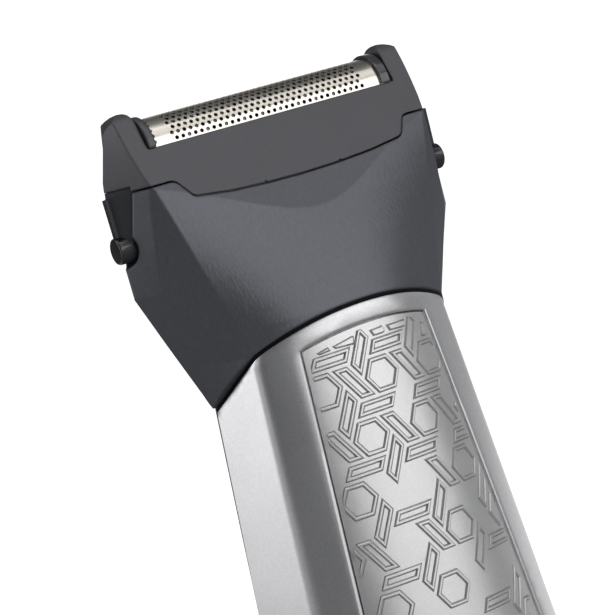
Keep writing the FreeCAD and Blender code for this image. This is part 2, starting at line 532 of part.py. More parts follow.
# foil frame with two ears
IN_Y = FOIL_R + 0.05
END_T = 0.6
EAR_IN = 17.95
frame_cut = box(-EAR_IN + 0.05, EAR_IN - 0.05, -IN_Y, IN_Y, 150, 180)
frame_cut = frame_cut.fuse(box(-FOIL_HALF + 0.2, FOIL_HALF - 0.2, -4.6, 4.6, 150, 166.2)).fuse(box(-FOIL_HALF + 0.4, FOIL_HALF - 0.4, -5.4, 5.4, 150, 164.0))
open_top = box(-EAR_IN + 0.05, EAR_IN - 0.05, -20, 20, FOIL_Z, 180)
slots = box(-EAR_IN, EAR_IN, -20, 20, FOIL_Z + 0.35, 180)
frame = upper.cut(frame_cut).cut(open_top).cut(slots)
# ear outline, front view: rounded top
ear = []
for sx in (-1, 1):
    pts = [(24.5, 160.0), (24.5, 166.0), (23.3, 168.5), (22.1, 171.3), (21.75, 172.3), (21.5, 172.95), (21.17, 173.55), (20.75, 174.1), (20.2, 174.55), (19.6, 174.86), (19.0, 175.0), (18.5, 174.93), (18.17, 174.62), (18.0, 174.1), (EAR_IN, 173.3), (EAR_IN, 160.0)]
    ear.append(prism([(sx * x, -30, z) for x, z in pts], (0, 60, 0)))
middle = box(-19.0, 19.0, -30, 30, 150, FOIL_Z + 0.6)
frame = frame.common(ear[0].fuse(ear[1]).fuse(middle))
# pockets where the release tongues hang from the frame
for sx in (-1, 1):
    x0, x1 = (18.6, 30.0) if sx > 0 else (-30.0, -18.6)
    frame = frame.cut(box(x0, x1, -TONGUE_W1 - 0.1, TONGUE_W1 + 0.1, 150.0, TONGUE_TOP + 0.06))
    # small gate marks in the front lower edge of the frame
    frame = frame.cut(box(sx * 5.4 - 0.14, sx * 5.4 + 0.14, -12.0, -5.8, 150.0, 162.25 + SEAM / 2 + 0.14))
out["foil_frame"] = clean(frame)

arch = cyl(FOIL_R, (-FOIL_HALF, 0, FOIL_Z), (1, 0, 0), 2 * FOIL_HALF).fuse(box(-FOIL_HALF, FOIL_HALF, -FOIL_R, FOIL_R, 166.6, FOIL_Z))
arch = arch.cut(cyl(FOIL_R - FOIL_T, (-FOIL_HALF - 1, 0, FOIL_Z), (1, 0, 0), 2 * FOIL_HALF + 2)).cut(box(-30, 30, -FOIL_R + FOIL_T, FOIL_R - FOIL_T, 160, FOIL_Z))
arch = arch.common(box(-30, 30, -10, 10, 166.6, 180))
out["shaving_foil"] = clean(arch)
for name, sx in (("foil_end_plate_left", -1), ("foil_end_plate_right", 1)):
    t = END_T if sx > 0 else 0.98
    x0 = sx * (FOIL_HALF + 0.03) if sx > 0 else -(FOIL_HALF + 0.03 + t)
    p = cyl(FOIL_R + 0.42, (x0, 0, FOIL_Z + 0.02), (1, 0, 0), t).common(box(-30, 30, -10, 10, FOIL_Z + 0.03, 180))
    if sx > 0:
        lip = ring(FOIL_R + 0.42, FOIL_R + 0.03, (FOIL_HALF - 0.6, 0, FOIL_Z + 0.02), (1, 0, 0), 0.65)
        p = p.fuse(lip.common(box(-30, 30, -10, 10, FOIL_Z + 0.03, 180)))
    p = p.fuse(box(x0, x0 + t, -IN_Y + 0.05, IN_Y - 0.05, 166.6, FOIL_Z + 0.05))
    out[name] = clean(p)

# release buttons: a tongue that hangs from the foil frame and carries the round button
skin_out = Part.makeLoft([head_wire(r, 0.06) for r in HEAD], True, True)
skin_in = Part.makeLoft([head_wire(r, 1.05) for r in HEAD], True, True)
for name, sx in (("release_button_left", -1), ("release_button_right", 1)):
    t = skin_out.cut(skin_in).common(tongue_prism(sx, 0.0, TONGUE_TOP))
    # narrow rib along the ridge, and the round button
    rib = prism([(sx * 22.9, -0.35, 159.6), (sx * 22.9, -0.35, 165.5), (sx * 23.74, -0.35, 165.35), (sx * 23.6, -0.35, 159.6)], (0, 0.7, 0))
    knob = cyl(RELEASE_R, (sx * 21.2, 0, RELEASE_Z), (sx, 0, 0), 2.75)
    tip = [e for e in knob.Edges if abs(abs(e.CenterOfMass.x) - 23.95) < 1e-3 and e.Length > 5]
    knob = knob.makeFillet(0.22, tip)
    out[name] = clean(t.fuse(rib).fuse(knob))

# ---------------------------------------------------------------- write
os.makedirs("parts", exist_ok=True)
for name, shape in out.items():
    shape.exportStep("parts/%s.step" % name)
    print("%-22s solids %2d valid %s vol %.1f" % (name, len(shape.Solids), shape.isValid(), shape.Volume))
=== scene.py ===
import math
import bpy
import bmesh
import numpy as np
from mathutils import Matrix, Vector
from mathutils.geometry import delaunay_2d_cdt


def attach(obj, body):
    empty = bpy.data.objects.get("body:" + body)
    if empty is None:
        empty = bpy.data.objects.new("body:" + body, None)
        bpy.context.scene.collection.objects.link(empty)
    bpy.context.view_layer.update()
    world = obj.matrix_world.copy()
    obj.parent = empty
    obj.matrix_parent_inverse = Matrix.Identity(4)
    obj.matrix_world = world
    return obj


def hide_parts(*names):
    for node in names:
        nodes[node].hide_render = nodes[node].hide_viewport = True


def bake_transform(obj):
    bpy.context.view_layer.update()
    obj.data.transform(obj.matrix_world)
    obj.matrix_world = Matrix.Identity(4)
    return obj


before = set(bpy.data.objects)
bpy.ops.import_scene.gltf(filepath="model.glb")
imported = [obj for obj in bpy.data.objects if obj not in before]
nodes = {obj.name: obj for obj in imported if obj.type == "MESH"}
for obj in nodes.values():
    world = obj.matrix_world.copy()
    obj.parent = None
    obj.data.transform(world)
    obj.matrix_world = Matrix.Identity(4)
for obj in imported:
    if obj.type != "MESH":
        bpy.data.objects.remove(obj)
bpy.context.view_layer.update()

MM = 0.001
scene = bpy.context.scene

# ------------------------------------------------------------------ sizes in mm, as in the part
RIM_Z, RIM_SLOPE, RIM_BAND = 136.70, 0.672, 0.50
PANEL_DROP, PANEL_BOTTOM, PANEL_RECESS, PANEL_T = 3.1, 62.0, 0.35, 0.9
WALL, CAP_H = 1.8, 9.0
BUTTON_Z, BEZEL_R, LED_Z = 46.0, 7.70, 31.0
RELEASE_Z = 158.9
FOIL_R, FOIL_T, FOIL_Z, FOIL_HALF = 3.75, 0.15, 170.0, 16.7

# z, soft edge x, soft edge y, side ridge x, front depth, rear edge x, rear edge y, rear depth
HANDLE = [
    (0.0, 12.6, 6.9, 14.8, 12.1, 11.0, 6.9, 11.2),
    (3.0, 13.6, 7.5, 15.9, 13.1, 11.9, 7.5, 12.2),
    (10.0, 14.2, 7.9, 16.6, 13.8, 12.4, 7.9, 12.8),
    (25.0, 14.9, 8.5, 17.4, 14.8, 12.9, 8.4, 13.5),
    (40.0, 15.7, 9.2, 18.2, 16.1, 13.5, 9.0, 14.4),
    (55.0, 16.45, 10.0, 18.9, 17.5, 14.1, 9.6, 15.4),
    (70.0, 17.0, 10.7, 19.3, 18.8, 14.6, 10.1, 16.1),
    (84.0, 17.15, 11.15, 19.5, 19.6, 14.7, 10.35, 16.5),
    (96.0, 17.0, 11.25, 19.35, 19.45, 14.5, 10.4, 16.5),
    (104.0, 16.52, 10.90, 18.98, 18.61, 14.2, 10.3, 16.3),
    (120.0, 15.39, 10.09, 17.84, 16.64, 13.4, 9.9, 15.5),
    (136.0, 14.27, 9.28, 16.68, 14.68, 12.55, 9.35, 14.3),
    (152.0, 13.14, 8.47, 15.52, 12.71, 11.7, 8.8, 12.9),
]


# ------------------------------------------------------------------ mesh helpers
def table(rows):
    """Smooth monotone interpolation of every column against the first."""
    a = np.array(rows, float)
    z, y = a[:, 0], a[:, 1:]
    h = np.diff(z)[:, None]
    dl = np.diff(y, axis=0) / h
    m = np.zeros_like(y)
    m[0], m[-1] = dl[0], dl[-1]
    for k in range(1, len(z) - 1):
        w1, w2 = 2 * h[k] + h[k - 1], h[k] + 2 * h[k - 1]
        p, q = dl[k - 1], dl[k]
        ok = p * q > 0
        ps, qs = np.where(ok, p, 1.0), np.where(ok, q, 1.0)
        m[k] = np.where(ok, (w1 + w2) / (w1 / ps + w2 / qs), 0.0)

    def f(q):
        q = np.atleast_1d(np.asarray(q, float))
        k = np.clip(np.searchsorted(z, q, side="right") - 1, 0, len(z) - 2)
        hh = (z[k + 1] - z[k])[:, None]
        t = (q - z[k])[:, None] / hh
        t2, t3 = t * t, t * t * t
        return (2 * t3 - 3 * t2 + 1) * y[k] + (t3 - 2 * t2 + t) * hh * m[k] + (-2 * t3 + 3 * t2) * y[k + 1] + (t3 - t2) * hh * m[k + 1]

    return f


def cdt(loops, points):
    verts, edges = [], []
    for loop in loops:
        n0, m = len(verts), len(loop)
        verts += [Vector((float(p[0]), float(p[1]))) for p in loop]
        edges += [(n0 + i, n0 + (i + 1) % m) for i in range(m)]
    verts += [Vector((float(p[0]), float(p[1]))) for p in points]
    r = delaunay_2d_cdt(verts, edges, [], 0, 1e-6)
    return np.array([tuple(v) for v in r[0]]), np.array([f for f in r[2]])


def inside(poly, P):
    x, y = P[:, 0], P[:, 1]
    c = np.zeros(len(P), bool)
    for (x0, y0), (x1, y1) in zip(poly, np.roll(poly, -1, 0)):
        if y0 == y1:
            continue
        xi = (x1 - x0) * (y - y0) / (y1 - y0) + x0
        c ^= ((y0 > y) != (y1 > y)) & (x < xi)
    return c


def dist_to(poly, P):
    """Distance of each point to the closed polyline."""
    best = np.full(len(P), 1e9)
    for a, b in zip(poly, np.roll(poly, -1, 0)):
        d = b - a
        t = np.clip(((P - a) @ d) / max(d @ d, 1e-12), 0, 1)
        best = np.minimum(best, np.hypot(*(P - a - t[:, None] * d).T))
    return best


def resample(poly, step):
    """Closed polyline with its corners kept and its edges cut to the step."""
    out = []
    for a, b in zip(poly, np.roll(poly, -1, 0)):
        n = max(1, int(math.ceil(np.hypot(*(b - a)) / step)))
        out += [a + (b - a) * i / n for i in range(n)]
    return np.array(out)


def chamfer(d, r):
    """Depth of a rounded edge of radius r at distance d from it."""
    e = np.clip(r - np.maximum(d, 0), 0, r)
    return r - np.sqrt(np.maximum(r * r - e * e, 0))


def mesh_piece(name, verts_mm, faces, body, replaces=(), sharp=30.0):
    me = bpy.data.meshes.new(name)
    me.from_pydata([tuple(v) for v in np.asarray(verts_mm, float) * MM], [], [tuple(int(i) for i in f) for f in faces])
    me.validate()
    bm = bmesh.new()
    bm.from_mesh(me)
    loose = [v for v in bm.verts if not v.link_faces]
    if loose:
        bmesh.ops.delete(bm, geom=loose, context="VERTS")
    lim = math.radians(sharp)
    for f in bm.faces:
        f.smooth = True
    for e in bm.edges:
        e.smooth = not (len(e.link_faces) == 2 and e.calc_face_angle(0.0) > lim)
    bm.to_mesh(me)
    bm.free()
    ob = bpy.data.objects.new(name, me)
    scene.collection.objects.link(ob)
    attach(ob, body)
    if replaces:
        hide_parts(*replaces)
    return ob


# ------------------------------------------------------------------ handle front surface
HT = table(HANDLE)
UA, UL = 16.0, 10.8
T_END = UA + UL
SOFT = 1.15


def handle_front(u, z):
    """Point of the handle's front surface: u runs across (0 in the middle, UA at the soft edge, T_END at the side ridge)."""
    u, z = np.broadcast_arrays(np.asarray(u, float), np.asarray(z, float))
    u, z = u.ravel(), z.ravel()
    sx, sy, a, b = HT(z)[:, :4].T
    R = (sx**2 + (b - sy) ** 2) / (2 * (b - sy))
    yc = -b + R
    ph = np.arcsin(np.clip(sx / R, -1, 1))

    def at(q):
        f = (q - UA) / UL
        on = q <= UA
        return np.where(on, R * np.sin(q / UA * ph), sx + (a - sx) * f), np.where(on, yc - R * np.cos(q / UA * ph), -sy * (1 - f))

    q = np.abs(u)
    x, y = at(q)
    t = (q - (UA - SOFT)) / (2 * SOFT)
    mid = (t > 0) & (t < 1)
    x0, y0 = at(np.full_like(q, UA - SOFT))
    x2, y2 = at(np.full_like(q, UA + SOFT))
    bx = (1 - t) ** 2 * x0 + 2 * t * (1 - t) * sx + t * t * x2
    by = (1 - t) ** 2 * y0 - 2 * t * (1 - t) * sy + t * t * y2
    x, y = np.where(mid, bx, x), np.where(mid, by, y)
    return np.stack([np.where(u < 0, -x, x), y, z], 1)


def normal_of(fn, u, z, e=0.04):
    du = fn(u + e, z) - fn(u - e, z)
    dz = fn(u, z + e) - fn(u, z - e)
    n = np.cross(du, dz)
    return n / np.linalg.norm(n, axis=1)[:, None]


def u_of_x(x, z):
    x, z = np.asarray(x, float), np.asarray(z, float)
    sx, sy, a, b = HT(z)[:, :4].T
    R = (sx**2 + (b - sy) ** 2) / (2 * (b - sy))
    return UA * np.arcsin(np.clip(x / R, -1, 1)) / np.arcsin(sx / R)


def rim(u, dz):
    u = np.asarray(u, float)
    z = np.full_like(u, 142.0)
    for _ in range(12):
        z = RIM_Z + dz + RIM_SLOPE * np.abs(handle_front(u, z)[:, 1])
    return z


def panel_half(z):
    z = np.asarray(z, float)
    return 8.94 + (144.0 - np.maximum(z, 90.0)) * 0.0762 - 0.03 * np.maximum(90.0 - z, 0)


def panel_top_z(x, dz):
    x = np.asarray(x, float)
    z = np.full_like(x, 140.0)
    for _ in range(12):
        z = RIM_Z - PANEL_DROP + dz + RIM_SLOPE * np.abs(handle_front(u_of_x(x, z), z)[:, 1])
    return z


def panel_loop(grow, step=0.8):
    """Outline of the panel seen from the front, grown by that much, as (x, z) points, anticlockwise."""
    ztop_c = float(panel_top_z([panel_half(140.0) + grow], grow * 1.1)[0])
    lo = PANEL_BOTTOM - grow
    zs = np.linspace(lo, ztop_c, int((ztop_c - lo) / step) + 1)
    xs = panel_half(zs) + grow
    xe = float(panel_half(ztop_c) + grow)
    xt = np.linspace(xe, -xe, int(2 * xe / step) + 1)[1:-1]
    right = np.stack([xs, zs], 1)
    top = np.stack([xt, panel_top_z(xt, grow * 1.1)], 1)
    left = np.stack([-xs[::-1], zs[::-1]], 1)
    xb = np.linspace(-xs[0], xs[0], int(2 * xs[0] / step) + 1)[1:-1]
    bottom = np.stack([xb, np.full_like(xb, lo)], 1)
    return np.concatenate([right, top, left, bottom])


def to_u(loop):
    return np.stack([u_of_x(loop[:, 0], loop[:, 1]), loop[:, 1]], 1)


def circle(x, z, r, n=72):
    t = np.linspace(0, 2 * math.pi, n, endpoint=False)
    return np.stack([x + r * np.cos(t), z + r * np.sin(t)], 1)


def slot_loop(hx, hz, r, cz, n=6):
    pts = []
    for sx, sz, a0 in ((1, 1, 0), (-1, 1, 90), (-1, -1, 180), (1, -1, 270)):
        for k in range(n + 1):
            a = math.radians(a0 + 90 * k / n)
            pts.append((sx * (hx - r) + r * math.cos(a), cz + sz * (hz - r) + r * math.sin(a)))
    return np.array(pts)


def grid_points(us, zs, keep_off, min_d, stagger=True):
    P = []
    for j, z in enumerate(zs):
        off = 0.5 * (j % 2) if stagger else 0.0
        for i, u in enumerate(us):
            nxt = us[min(i + 1, len(us) - 1)]
            P.append((u + off * (nxt - u) * 0.0, z))
    P = np.array(P)
    from mathutils.kdtree import KDTree
    kd = KDTree(len(keep_off))
    for i, q in enumerate(keep_off):
        kd.insert((q[0], q[1], 0.0), i)
    kd.balance()
    ok = [kd.find((p[0], p[1], 0.0))[2] > min_d for p in P]
    return P[np.array(ok)]


def two_sided(name, P2, tris, top_pos, floor_tris, floor_pos, back_pos, body, replaces, sharp=28.0, back_tris=None):
    """Closed thin piece from one triangulation: top faces, pocket floor faces and back faces, joined by walls where each set ends."""
    n = len(P2)
    V = np.concatenate([top_pos, floor_pos, back_pos]) if floor_pos is not None else np.concatenate([top_pos, back_pos])
    boff = 2 * n if floor_pos is not None else n
    F = [tuple(t) for t in tris]
    every = [tuple(t) for t in tris]
    if floor_pos is not None:
        F += [tuple(i + n for i in t) for t in floor_tris]
        every += [tuple(t) for t in floor_tris]

    def border(ts):
        seen = {}
        for t in ts:
            for a, b in ((t[0], t[1]), (t[1], t[2]), (t[2], t[0])):
                seen[(a, b)] = 1
        return [e for e in seen if (e[1], e[0]) not in seen]

    outer = set(border(every))
    F += [tuple(i + boff for i in t[::-1]) for t in every]
    for a, b in border([tuple(t) for t in tris]):
        if (a, b) in outer:
            F.append((b, a, a + boff, b + boff))
        else:
            F.append((b, a, a + n, b + n))
    if floor_pos is not None:
        for a, b in border([tuple(t) for t in floor_tris]):
            if (a, b) in outer:
                F.append((b + n, a + n, a + boff, b + boff))
    return mesh_piece(name, V, F, body, replaces, sharp)


# ------------------------------------------------------------------ front shell
def front_shell():
    def perimeter(o):
        t = T_END - o
        ur = np.linspace(t, -t, 84)
        zt = rim(ur, -RIM_BAND) - o
        zr = np.linspace(CAP_H + o, zt[0], 150)
        right = np.stack([np.full_like(zr, t), zr], 1)
        top = np.stack([ur, zt], 1)[1:-1]
        left = np.stack([np.full_like(zr, -t), zr[::-1]], 1)
        ub = np.linspace(-t, t, 60)[1:-1]
        return np.concatenate([right, top, left, np.stack([ub, np.full_like(ub, CAP_H + o)], 1)])

    outer = perimeter(0.0)
    panel = to_u(panel_loop(0.0))
    bezel = to_u(circle(0, BUTTON_Z, BEZEL_R))
    led = to_u(slot_loop(2.2, 0.6, 0.3, LED_Z))
    loops = [outer, perimeter(0.08), perimeter(0.25), panel, to_u(panel_loop(0.09)), to_u(panel_loop(0.2)), to_u(panel_loop(0.42)), bezel, to_u(circle(0, BUTTON_Z, BEZEL_R + 0.08)), to_u(circle(0, BUTTON_Z, BEZEL_R + 0.25)), led, to_u(slot_loop(2.32, 0.72, 0.42, LED_Z))]
    soft = [UA + o for o in (-2.0, -1.5, -SOFT, -0.85, -0.57, -0.28, 0, 0.28, 0.57, 0.85, SOFT, 1.5, 2.0)]
    us = list(np.arange(0, UA - 2.4, 1.05)) + soft + list(np.arange(UA + 3.0, T_END - 0.5, 1.1))
    us = np.array(sorted([-u for u in us if u > 0] + us))
    zs = np.arange(CAP_H + 0.9, 149.0, 1.15)
    G = grid_points(us, zs, np.concatenate(loops), 0.4)
    G = G[inside(outer, G)]
    P, T = cdt(loops, G)
    C = P[T].mean(1)
    in_out = inside(outer, C)
    in_pan = inside(panel, C)
    hole = inside(bezel, C) | inside(led, C)
    keep = in_out & ~hole
    shell_t, floor_t = T[keep & ~in_pan], T[keep & in_pan]
    u, z = P[:, 0], P[:, 1]
    S, N = handle_front(u, z), normal_of(handle_front, u, z)
    dz_top = rim(u, -RIM_BAND) - z
    d = np.zeros(len(P))
    for dd, r in ((T_END - np.abs(u), 0.12), (z - CAP_H, 0.2), (dz_top, 0.25), (dist_to(bezel, P), 0.25), (dist_to(led, P), 0.15)):
        d = np.maximum(d, chamfer(dd, r))
    d = np.maximum(d, chamfer(dist_to(panel, P), 0.42))
    top = S - N * d[:, None]
    flo = S - N * (PANEL_RECESS + PANEL_T + 0.0)
    bak = S - N * WALL
    return two_sided("front_shell_skin", P, shell_t, top, floor_t, flo, bak, "handle", ["front_shell"])


# ------------------------------------------------------------------ patterned panel
U = 0.8
LAT_R, LAT_A, LAT_Z0 = 27.36, math.radians(7.0), 170.387
PITCH = 10.0
D1 = np.array([1.0, 0.0])
D2 = np.array([0.5, -math.sqrt(3) / 2])
D3 = np.array([-0.5, -math.sqrt(3) / 2])
S0 = -0.38


def lat_to_xz(P):
    s, zl = P[:, 0], P[:, 1]
    px, py = LAT_R * np.sin(s / LAT_R), LAT_R * (1 - np.cos(s / LAT_R))
    return np.stack([U * px, U * (-py * math.sin(LAT_A) + zl * math.cos(LAT_A) + LAT_Z0)], 1)


def xz_to_lat(Q):
    s = LAT_R * np.arcsin(np.clip(Q[:, 0] / U / LAT_R, -1, 1))
    py = LAT_R * (1 - np.cos(s / LAT_R))
    return np.stack([s, (Q[:, 1] / U - LAT_Z0 + py * math.sin(LAT_A)) / math.cos(LAT_A)], 1)


def site(i, j):
    return PITCH * (i * D1 + j * D2) + np.array([S0, 0.0])


def inset_poly(poly, w):
    """Convex polygon, anticlockwise, moved in by w."""
    out = []
    n = len(poly)
    for k in range(n):
        a, b, c = poly[k - 1], poly[k], poly[(k + 1) % n]
        d1, d2 = (b - a) / np.hypot(*(b - a)), (c - b) / np.hypot(*(c - b))
        n1, n2 = np.array([-d1[1], d1[0]]), np.array([-d2[1], d2[0]])
        A = np.array([n1, n2])
        out.append(np.linalg.solve(A, np.array([n1 @ (a + n1 * w), n2 @ (b + n2 * w)])))
    return np.array(out)


def poly_depth(poly, P):
    best = np.full(len(P), 1e9)
    for a, b in zip(poly, np.roll(poly, -1, 0)):
        d = (b - a) / np.hypot(*(b - a))
        best = np.minimum(best, (P - a) @ np.array([-d[1], d[0]]))
    return best


def ccw(poly):
    a = 0.5 * sum(p[0] * q[1] - q[0] * p[1] for p, q in zip(poly, np.roll(poly, -1, 0)))
    return poly if a > 0 else poly[::-1]


def hexagon(i, j):
    c = site(i, j)
    return ccw(np.array([c + 3.08 * d for d in (D1, D2, D3, -D1, -D2, -D3)]))


def skew_bar(kind, i, j):
    L, S, off = {"a": (D2, D1, D1 * 0.5), "b": (D3, D2, D2 * 0.5), "c": (D1, D3, D3 * 0.5)}[kind]
    c = site(i, j) + PITCH * off
    l, s = L * 3.03, S * 1.165
    return ccw(np.array([c + l + s, c + l - s, c - l - s, c - l + s]))


HEXES = [(0, 0), (-1, 0), (1, 0), (0, 1), (-1, 1), (0, 2), (-2, 2), (-1, 3), (-2, 4), (-3, 4), (-3, 3), (0, 3), (2, -1), (-2, 1), (1, 1), (1, 2)]
BARS = [("c", 0, 0), ("a", -1, 0), ("b", 0, -1), ("c", 0, -1), ("c", 1, -1), ("c", -1, 1), ("a", -1, 1), ("b", -1, 1), ("c", 0, 1), ("c", -1, 2), ("b", -2, 2), ("a", -2, 1), ("a", -1, 2), ("b", -1, 2), ("a", 0, 0), ("c", 1, 0), ("b", 1, -1), ("a", 0, 1), ("a", -2, 3), ("b", -2, 3), ("a", -3, 3), ("c", -2, 3), ("b", -1, 3), ("c", -1, 4), ("c", 0, 3), ("b", -1, 0), ("c", 1, 1), ("b", 0, 2), ("b", -1, 4)]
for jj in range(5, 12):
    for ii in range(-9, 3):
        if abs(site(ii, jj)[0]) < 17:
            if (ii * 5 + jj * 3) % 4 != 1:
                HEXES.append((ii, jj))
            if (ii * 3 + jj * 2) % 5 in (0, 2):
                BARS.append(("c", ii, jj))
            if (ii * 2 + jj * 5) % 7 in (1, 4, 6):
                BARS.append(("a", ii, jj))
            if (ii * 4 + jj) % 6 in (0, 3):
                BARS.append(("b", ii, jj))

# small raised plates that fill the top of the panel, x and z
PLATES = [
    [(-5.34, 141.15), (-5.13, 140.86), (-2.75, 140.74), (-2.50, 141.60), (-2.70, 141.66)],
    [(-7.40, 140.86), (-7.20, 140.68), (-5.86, 140.80), (-6.00, 141.22)],
    [(-0.12, 141.66), (0.14, 140.95), (1.60, 140.93), (1.93, 141.12), (1.70, 141.75)],
    [(2.40, 141.62), (2.66, 140.92), (5.12, 140.74), (5.30, 141.55)],
    [(7.30, 138.95), (7.75, 138.70), (8.70, 138.95), (8.62, 140.24), (7.85, 140.36)],
]
RING_W, RING_H = 0.60, 0.24
STEPS = ((0.0, -0.42), (0.07, 0.55), (0.19, 1.0))
MOAT = 0.10


def ring_profile(d):
    return np.interp(d, [s for s, _ in STEPS], [h for _, h in STEPS])


def pattern_panel():
    border = xz_to_lat(panel_loop(-0.10, 0.7))
    rims = [border, xz_to_lat(panel_loop(-0.19, 0.7))]
    clips = [xz_to_lat(panel_loop(-0.64 - s * U, 0.7)) for s, _ in STEPS]
    polys = [hexagon(*h) for h in HEXES] + [skew_bar(*b) for b in BARS]
    clip0 = clips[0]
    used, loops = [], []
    for poly in polys:
        probe = resample(poly, 0.5)
        if not inside(clip0, probe).any():
            continue
        used.append(poly)
        for s, _ in STEPS:
            loops.append(resample(inset_poly(poly, s), 1.1))
        for s, _ in STEPS[::-1]:
            loops.append(resample(inset_poly(poly, RING_W - s), 1.1))
        loops.append(resample(inset_poly(poly, -MOAT), 1.1))
        loops.append(resample(inset_poly(poly, RING_W + MOAT), 1.1))
    plates = [ccw(xz_to_lat(np.array(q))) for q in PLATES]
    for poly in plates:
        for s, _ in STEPS:
            loops.append(resample(inset_poly(poly, s), 0.6))
        loops.append(resample(inset_poly(poly, -MOAT), 0.6))
    # parts of the outlines beyond the border are not drawn
    lo, hi = border.min(0) - 1, border.max(0) + 1
    allc = np.concatenate(rims + clips + loops)
    G = grid_points(np.arange(lo[0], hi[0], 1.15), np.arange(lo[1], hi[1], 1.15), allc, 0.33)
    G = G[inside(border, G)]
    P, T = cdt(rims + clips + loops, G)
    C = P[T].mean(1)
    T = T[inside(border, C)]
    used_v = np.unique(T)
    remap = -np.ones(len(P), int)
    remap[used_v] = np.arange(len(used_v))
    P, T = P[used_v], remap[T]
    band = np.full(len(P), -9.0)
    for poly in used:
        d = poly_depth(poly, P)
        band = np.maximum(band, np.minimum(d, RING_W - d))
    for poly in plates:
        band = np.maximum(band, poly_depth(poly, P))
    c = dist_to(clip0, P)
    c[~inside(clip0, P)] = 0
    fade = np.interp(c, (0.0, 0.12), (0.0, 1.0))
    lift = np.interp(band, (-MOAT, 0.0, 0.07, 0.19), (0.0, -0.42, 0.55, 1.0))
    h = RING_H * np.where(lift > 0, np.minimum(lift, fade), lift * fade)
    h = h - chamfer(dist_to(border, P) * U, 0.09)
    Q = lat_to_xz(P)
    u = u_of_x(Q[:, 0], Q[:, 1])
    S, N = handle_front(u, Q[:, 1]), normal_of(handle_front, u, Q[:, 1])
    top = S - N * (PANEL_RECESS - h)[:, None]
    bak = S - N * (PANEL_RECESS + PANEL_T - 0.03)
    return two_sided("pattern_panel_relief", P, T, top, [], None, bak, "handle", ["pattern_panel"], sharp=24.0)


# ------------------------------------------------------------------ perforated foil
def foil():
    pitch, rowp, hole_r, n_row, rows = 0.871, 0.741, 0.262, 32, 15
    arc_len = math.pi * FOIL_R
    s0 = (arc_len - (rows - 1) * rowp) / 2 - 0.25
    x0 = -n_row * pitch / 2 - 0.09
    bot = 166.62

    V, F, index = [], [], {}

    def surf(x, s, inner):
        r = FOIL_R - (FOIL_T if inner else 0)
        if s < 0:
            return (x, -r, FOIL_Z + s)
        if s > arc_len:
            return (x, r, FOIL_Z - (s - arc_len))
        a = s / FOIL_R
        return (x, -r * math.cos(a), FOIL_Z + r * math.sin(a))

    def vid(x, s, inner):
        k = (round(x, 5), round(s, 5), inner)
        if k not in index:
            index[k] = len(V)
            V.append(surf(x, s, inner))
        return index[k]

    def face(pts):
        F.append(tuple(vid(x, s, False) for x, s in pts))
        F.append(tuple(vid(x, s, True) for x, s in reversed(pts)))

    def wall(p, q):
        F.append((vid(q[0], q[1], False), vid(p[0], p[1], False), vid(p[0], p[1], True), vid(q[0], q[1], True)))

    n = 16
    # column lines shared by every row: every second row sits half a pitch to the left
    lines = [x0 + (i - 1) * pitch / 2 for i in range(2 * n_row + 2)]
    for k in range(rows):
        sc = s0 + k * rowp
        lo, hi = sc - rowp / 2, sc + rowp / 2
        xs = lines[0] if k % 2 else lines[1]
        xe = xs + n_row * pitch
        for c in range(n_row):
            xl = xs + c * pitch
            xc = xl + pitch / 2
            B = [(xl + pitch, sc), (xl + pitch, hi), (xc, hi), (xl, hi), (xl, sc), (xl, lo), (xc, lo), (xl + pitch, lo)]
            Hh = [(xc + hole_r * math.cos(2 * math.pi * i / n), sc + hole_r * math.sin(2 * math.pi * i / n)) for i in range(n)]
            for i in range(8):
                a, b = B[i], B[(i + 1) % 8]
                h0, h1, h2 = Hh[2 * i], Hh[2 * i + 1], Hh[(2 * i + 2) % n]
                face([a, h1, h0])
                face([a, b, h1])
                face([b, h2, h1])
            for i in range(n):
                wall(Hh[i], Hh[(i + 1) % n])
        # plain metal at both ends of the row, meeting every column line beside it
        before = [x for x in lines if x < xs - 1e-6]
        after = [x for x in lines if x > xe + 1e-6]
        for lower in (True, False):
            edge = lo if lower else hi
            left = [(-FOIL_HALF, edge)] + [(x, edge) for x in before] + [(xs, edge)]
            right = [(xe, edge)] + [(x, edge) for x in after] + [(FOIL_HALF, edge)]
            if lower:
                face(left + [(xs, sc), (-FOIL_HALF, sc)])
                face(right + [(FOIL_HALF, sc), (xe, sc)])
            else:
                face([(-FOIL_HALF, sc), (xs, sc)] + left[::-1])
                face([(xe, sc), (FOIL_HALF, sc)] + right[::-1])
    xall = [-FOIL_HALF] + lines + [FOIL_HALF]
    lo_first, hi_last = s0 - rowp / 2, s0 + (rows - 1) * rowp + rowp / 2
    down = bot - FOIL_Z
    bands = [down] + ([0.0] if lo_first > 1e-6 else []) + [lo_first]
    ends_hi = [hi_last] + ([arc_len] if hi_last < arc_len - 1e-6 else []) + [arc_len - down]
    for group in (bands, ends_hi):
        for sa, sb in zip(group, group[1:]):
            for xa, xb in zip(xall, xall[1:]):
                face([(xa, sa), (xb, sa), (xb, sb), (xa, sb)])
    for xa, xb in zip(xall, xall[1:]):
        wall((xb, down), (xa, down))
        wall((xa, arc_len - down), (xb, arc_len - down))
    ends = bands[:-1] + [v for k in range(rows) for v in (s0 + k * rowp - rowp / 2, s0 + k * rowp)] + ends_hi
    for sa, sb in zip(ends, ends[1:]):
        wall((-FOIL_HALF, sa), (-FOIL_HALF, sb))
        wall((FOIL_HALF, sb), (FOIL_HALF, sa))
    return mesh_piece("foil_mesh", V, F, "foil_head", ["shaving_foil"], sharp=40.0)


